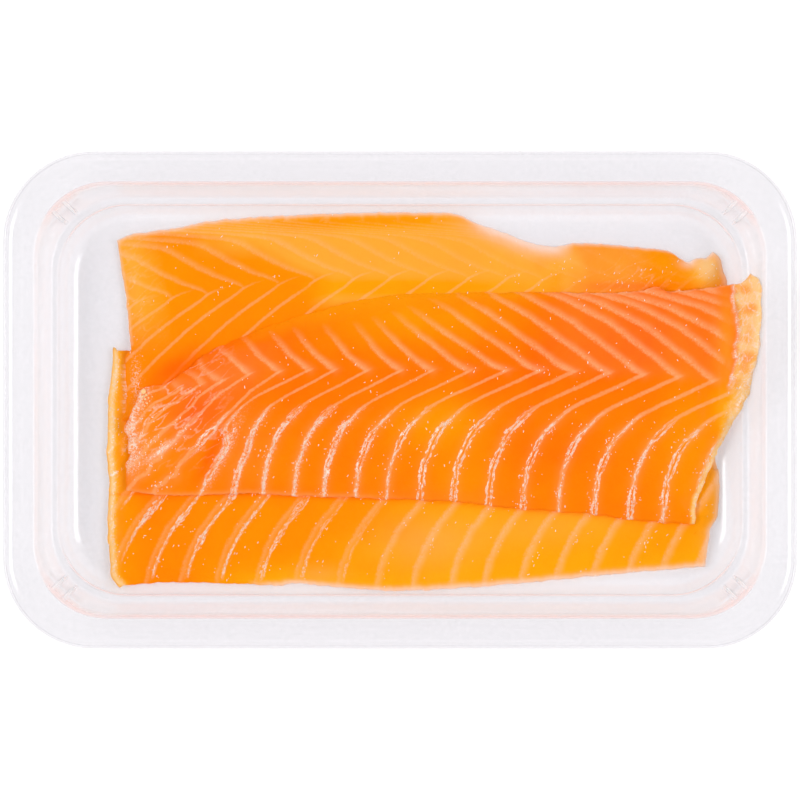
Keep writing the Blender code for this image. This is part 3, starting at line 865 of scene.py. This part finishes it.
# The white broken line on the crest is pale fat with a painted highlight, where the slice folds over.
crest_fat_and_highlight = np.exp(-((past_crest / 0.45) ** 2)) * crest * np.clip(0.75 + 0.5 * ripple(top_plan, 2.2, 43), 0, 1)
rim = 1.1 - 1.04 * np.clip(-(x - 45) / 25, 0, 1) * np.exp(-((from_back / 7) ** 2))
rim += 0.7 * np.clip(-(x + 48) / 8, 0, 1) * np.exp(-((from_back / 7) ** 2))
edge_fall = EDGE_FALL + 3 * np.clip(-(x - 45) / 25, 0, 1) * np.exp(-((from_back / 10) ** 2))
thickness = rim + (SLICE - rim) * np.sin(np.minimum(edge / edge_fall, 1) * math.pi / 2)
thickness += (STRIP - thickness) * np.clip((x - 89) / 4, 0, 1)
relief = 0.32 * np.exp(-((off_top_line / 0.8) ** 2)) * front_part + 0.14 * np.exp(-((off_top_line / 0.6) ** 2))
relief = relief * tail + 0.06 * np.exp(-((off_band / 1.4) ** 2)) * upper
relief = relief * whole + (0.25 * ripple(top_plan, 18, 14) + 0.05 * ripple(top_plan, 1.3, 15)) * (1 - strip)
relief += 0.25 * left_mess * ripple(top_plan, 3.2, 51) * np.exp(-((from_left / 9) ** 2))
relief += 0.3 * ripple(top_plan, 4.5, 53) * strip + 0.4 * crease - 0.8 * shaded_groove
crest_rise = 0.5 * np.exp(-((past_crest / 0.7) ** 2)) * crest
clinging = np.exp(-((from_back / 1.2) ** 2)) * np.clip((50 - x) / 10, 0, 1)
top_under = settled(top_plan, [tray_tree, front_tree, back_tree], clinging)
top_top = topside(top_plan, top_under, thickness) + relief * np.minimum(edge / 2.5, 1) + crest_rise
reach_up = np.interp(band_source, (-40, 0, 30, 50, 75), (12, 14, 19, 26, 40))
top_tree = slab("top_slice", top_plan, top_under, top_top, {
    "line": line,
    "line_apart": line_apart,
    "line_half": 0.5 + 0.25 * np.clip((x - 10) / 40, 0, 1) + 0.35 * front_part,
    "line_share": 0.36 * tail * whole * (1 - 0.3 * front_part),
    "along": np.where(fall > 0, rise, fall) * 1.2,
    "rough": front_part * whole * np.clip((x + 58) / 4, 0, 1) * (1 - shaded_groove),
    "band": band,
    "band_apart": band_apart,
    "band_half": 1.1 + 0.2 * np.clip((x - 20) / 40, 0, 1),
    "band_share": 0.4 * upper * whole * np.clip((reach_up - rise) / 8, 0, 1) * (1 - 0.65 * left_mess)
    * (1 - 0.85 * beside_crest),
    "tone": tone,
    "pale": pale + 0.09 * haze,
    "white": 0.12 * strip + 0.08 * left_rim + 0.3 * white_band + 0.4 * crest_fat_and_highlight,
    "fibre": np.clip(
        0.75 * left_rim + crest_fat_and_highlight + 0.35 * strip + 0.9 * white_band + 0.5 * margin + 0.85 * ridge_glint_paint
        + 0.85 * crease, 0, 1,
    ) * (1 - shaded_groove),
    "web": np.clip(0.55 * left_mess * np.clip((y + 20) / 10, 0, 1) + 0.8 * strip + 0.4 * margin, 0, 1),
}, salmon_flesh)
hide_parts("slice_top")
top_clusters = np.clip(0.4 + 1.7 * ripple(top_plan, 5, 95), 0, 1.8)
top_flecks = (0.05 + 0.8 * haze * whole + 0.12 * np.exp(-(((fall - 0.3) / 1.2) ** 2))) * top_clusters
top_flecks += 0.25 * left_rim + 0.3 * white_band + 0.25 * margin + 1.6 * crest_fat_and_highlight

# Fat and wet flecks: specks and short fibres of fat on the cut faces, wet enough to glint, and
# coloured near white partly as a painted glint. They are thick along the rough lines and thin elsewhere, and lie
# mostly along the lines.

FLECK_HIGH = 0.07


def sprinkled(bm, plan, top, density, covers, heading, draw):
    """Adds flecks to a slice, at a density in flecks for each square millimetre, where nothing covers it."""
    x_long, x_wide = np.gradient(plan[..., 0])
    y_long, y_wide = np.gradient(plan[..., 1])
    cell = np.abs(x_long * y_wide - x_wide * y_long)
    down = Vector((0, 0, -1))
    for i, j in np.argwhere(draw.random(cell.shape) < density * cell):
        px, py, pz = (float(value) * MM for value in (*plan[i, j], top[i, j]))
        if any((hit := tree.ray_cast(Vector((px, py, 0.05)), down)[0]) and hit.z > pz for tree in covers):
            continue
        long = draw.uniform(0.11, 0.2) if draw.random() < 0.7 else draw.uniform(0.25, 0.55)
        wide = draw.uniform(0.09, 0.15)
        turn = heading + draw.normal(0, 0.4)
        matrix = (
            Matrix.Translation((px, py, pz))
            @ Matrix.Rotation(turn, 4, "Z")
            @ Matrix.Diagonal((long * MM, wide * MM, FLECK_HIGH * MM, 1))
        )
        laid = fleck.copy()
        laid.transform(matrix)
        bm.from_mesh(laid)
        bpy.data.meshes.remove(laid)


bm = bmesh.new()
bmesh.ops.create_icosphere(bm, subdivisions=1, radius=1)
fleck = bpy.data.meshes.new("fleck")
bm.to_mesh(fleck)
bm.free()
draw = np.random.default_rng(5)
bm = bmesh.new()
sprinkled(bm, front_plan, front_top, front_flecks, [back_tree, top_tree], 1.05, draw)
sprinkled(bm, back_plan, back_top, back_flecks, [top_tree], 1.3, draw)
sprinkled(bm, top_plan, top_top, top_flecks, [], 1.35, draw)
bpy.data.meshes.remove(fleck)
fleck_mesh = bpy.data.meshes.new("fat_flecks")
bm.to_mesh(fleck_mesh)
bm.free()
fleck_mesh.shade_smooth()

fleck_fat_and_glint = bpy.data.materials.new("fleck_fat_and_glint")
finish = Finish(fleck_fat_and_glint)
place = finish.node("ShaderNodeTexCoord", output="Object")
# The near-white in the flecks' colour is partly a painted glint.
shade = finish.mix(finish.cloud(place, 1.5).step(0.3, 0.6), (1.0, 0.62, 0.4), (1.0, 0.9, 0.82))
finish.show(finish.node("ShaderNodeBsdfPrincipled", {}, {
    "Base Color": shade,
    "Roughness": 0.2,
    "Specular IOR Level": 0.5,
}))
fleck_mesh.materials.append(fleck_fat_and_glint)
flecks = bpy.data.objects.new("fat_flecks", fleck_mesh)
bpy.context.scene.collection.objects.link(flecks)
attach(flecks, "root")

# The fat bead: a lump of soft yellow fat with smaller beads below it, left where the top slice's
# ragged end begins.

bm = bmesh.new()
for bead_x, bead_y, radius in (
    (-70.3, 2.3, 0.75), (-69.6, 1.3, 0.4), (-70.6, 0.9, 0.35), (-69.8, 0.2, 0.33), (-68.9, 0.6, 0.25),
    (-70.4, -0.6, 0.25), (-69.3, -0.9, 0.3), (-68.6, -0.3, 0.2), (-67.9, 0.9, 0.2), (-69.9, -1.6, 0.2),
):
    seat = top_tree.ray_cast(Vector((bead_x * MM, bead_y * MM, 0.05)), Vector((0, 0, -1)))[0]
    middle = seat + Vector((0, 0, 0.3 * radius * MM))
    bmesh.ops.create_icosphere(bm, subdivisions=3, radius=radius * MM, matrix=Matrix.Translation(middle))
bead_mesh = bpy.data.meshes.new("fat_beads")
bm.to_mesh(bead_mesh)
bm.free()
bead_mesh.shade_smooth()

soft_fat = bpy.data.materials.new("soft_fat")
finish = Finish(soft_fat)
place = finish.node("ShaderNodeTexCoord", output="Object")
shade = finish.mix(finish.cloud(place, 0.8), (1.0, 0.45, 0.08), (1.0, 0.78, 0.45))
finish.show(finish.node("ShaderNodeBsdfPrincipled", {}, {"Base Color": shade, "Roughness": 0.22}))
bead_mesh.materials.append(soft_fat)
beads = bpy.data.objects.new("fat_beads", bead_mesh)
bpy.context.scene.collection.objects.link(beads)
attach(beads, "root")


# The table, the lights and the camera: a plain white sweep, two tall softboxes to the left and
# right as over a copy stand, an even fill from the sides, and a camera straight above the tray.

bm = bmesh.new()
bmesh.ops.create_grid(bm, x_segments=1, y_segments=1, size=2.0)
floor_mesh = bpy.data.meshes.new("floor")
bm.to_mesh(floor_mesh)
bm.free()
floor = bpy.data.objects.new("floor", floor_mesh)
bpy.context.scene.collection.objects.link(floor)
white_card = bpy.data.materials.new("white_card")
finish = Finish(white_card)
finish.show(finish.node("ShaderNodeBsdfPrincipled", {}, {
    "Base Color": (0.5, 0.5, 0.5, 1),
    "Roughness": 1.0,
    "Specular IOR Level": 0.0,
    "Emission Color": (1.0, 1.0, 1.0, 1),
    "Emission Strength": 0.56,
}))
floor_mesh.materials.append(white_card)
floor.location.z = -0.0002

SOFTBOX_AWAY = 1.05
SOFTBOX_UP = 1.25
for side in (-1, 1):
    lamp = bpy.data.lights.new("softbox", "AREA")
    lamp.shape = "RECTANGLE"
    lamp.size = 0.42
    lamp.size_y = 0.85
    lamp.energy = 9.2
    softbox = bpy.data.objects.new("softbox", lamp)
    softbox.location = (side * SOFTBOX_AWAY, 0, SOFTBOX_UP)
    softbox.rotation_euler = (0, side * math.atan2(SOFTBOX_AWAY, SOFTBOX_UP), 0)
    bpy.context.scene.collection.objects.link(softbox)

studio = bpy.data.worlds.new("studio")
finish = Finish(studio, "ShaderNodeOutputWorld")
sky = finish.node("ShaderNodeTexCoord", output="Generated")
height = finish.node("ShaderNodeSeparateXYZ", {}, {0: sky}, "Z")
brightness = 1.1 - 0.95 * height.step(0.45, 0.85)
finish.show(finish.node("ShaderNodeBackground", {}, {"Color": (0.98, 0.985, 1.0, 1), "Strength": brightness}))
bpy.context.scene.world = studio
bpy.context.scene.view_settings.view_transform = "Standard"

CAMERA_UP = 1.0
FIELD_WIDTH = 0.2166
lens = bpy.data.cameras.new("camera")
lens.lens = lens.sensor_width * CAMERA_UP / FIELD_WIDTH
camera = bpy.data.objects.new("camera", lens)
camera.location = (0, 0, tray_high.z + CAMERA_UP)
bpy.context.scene.collection.objects.link(camera)
bpy.context.scene.camera = camera
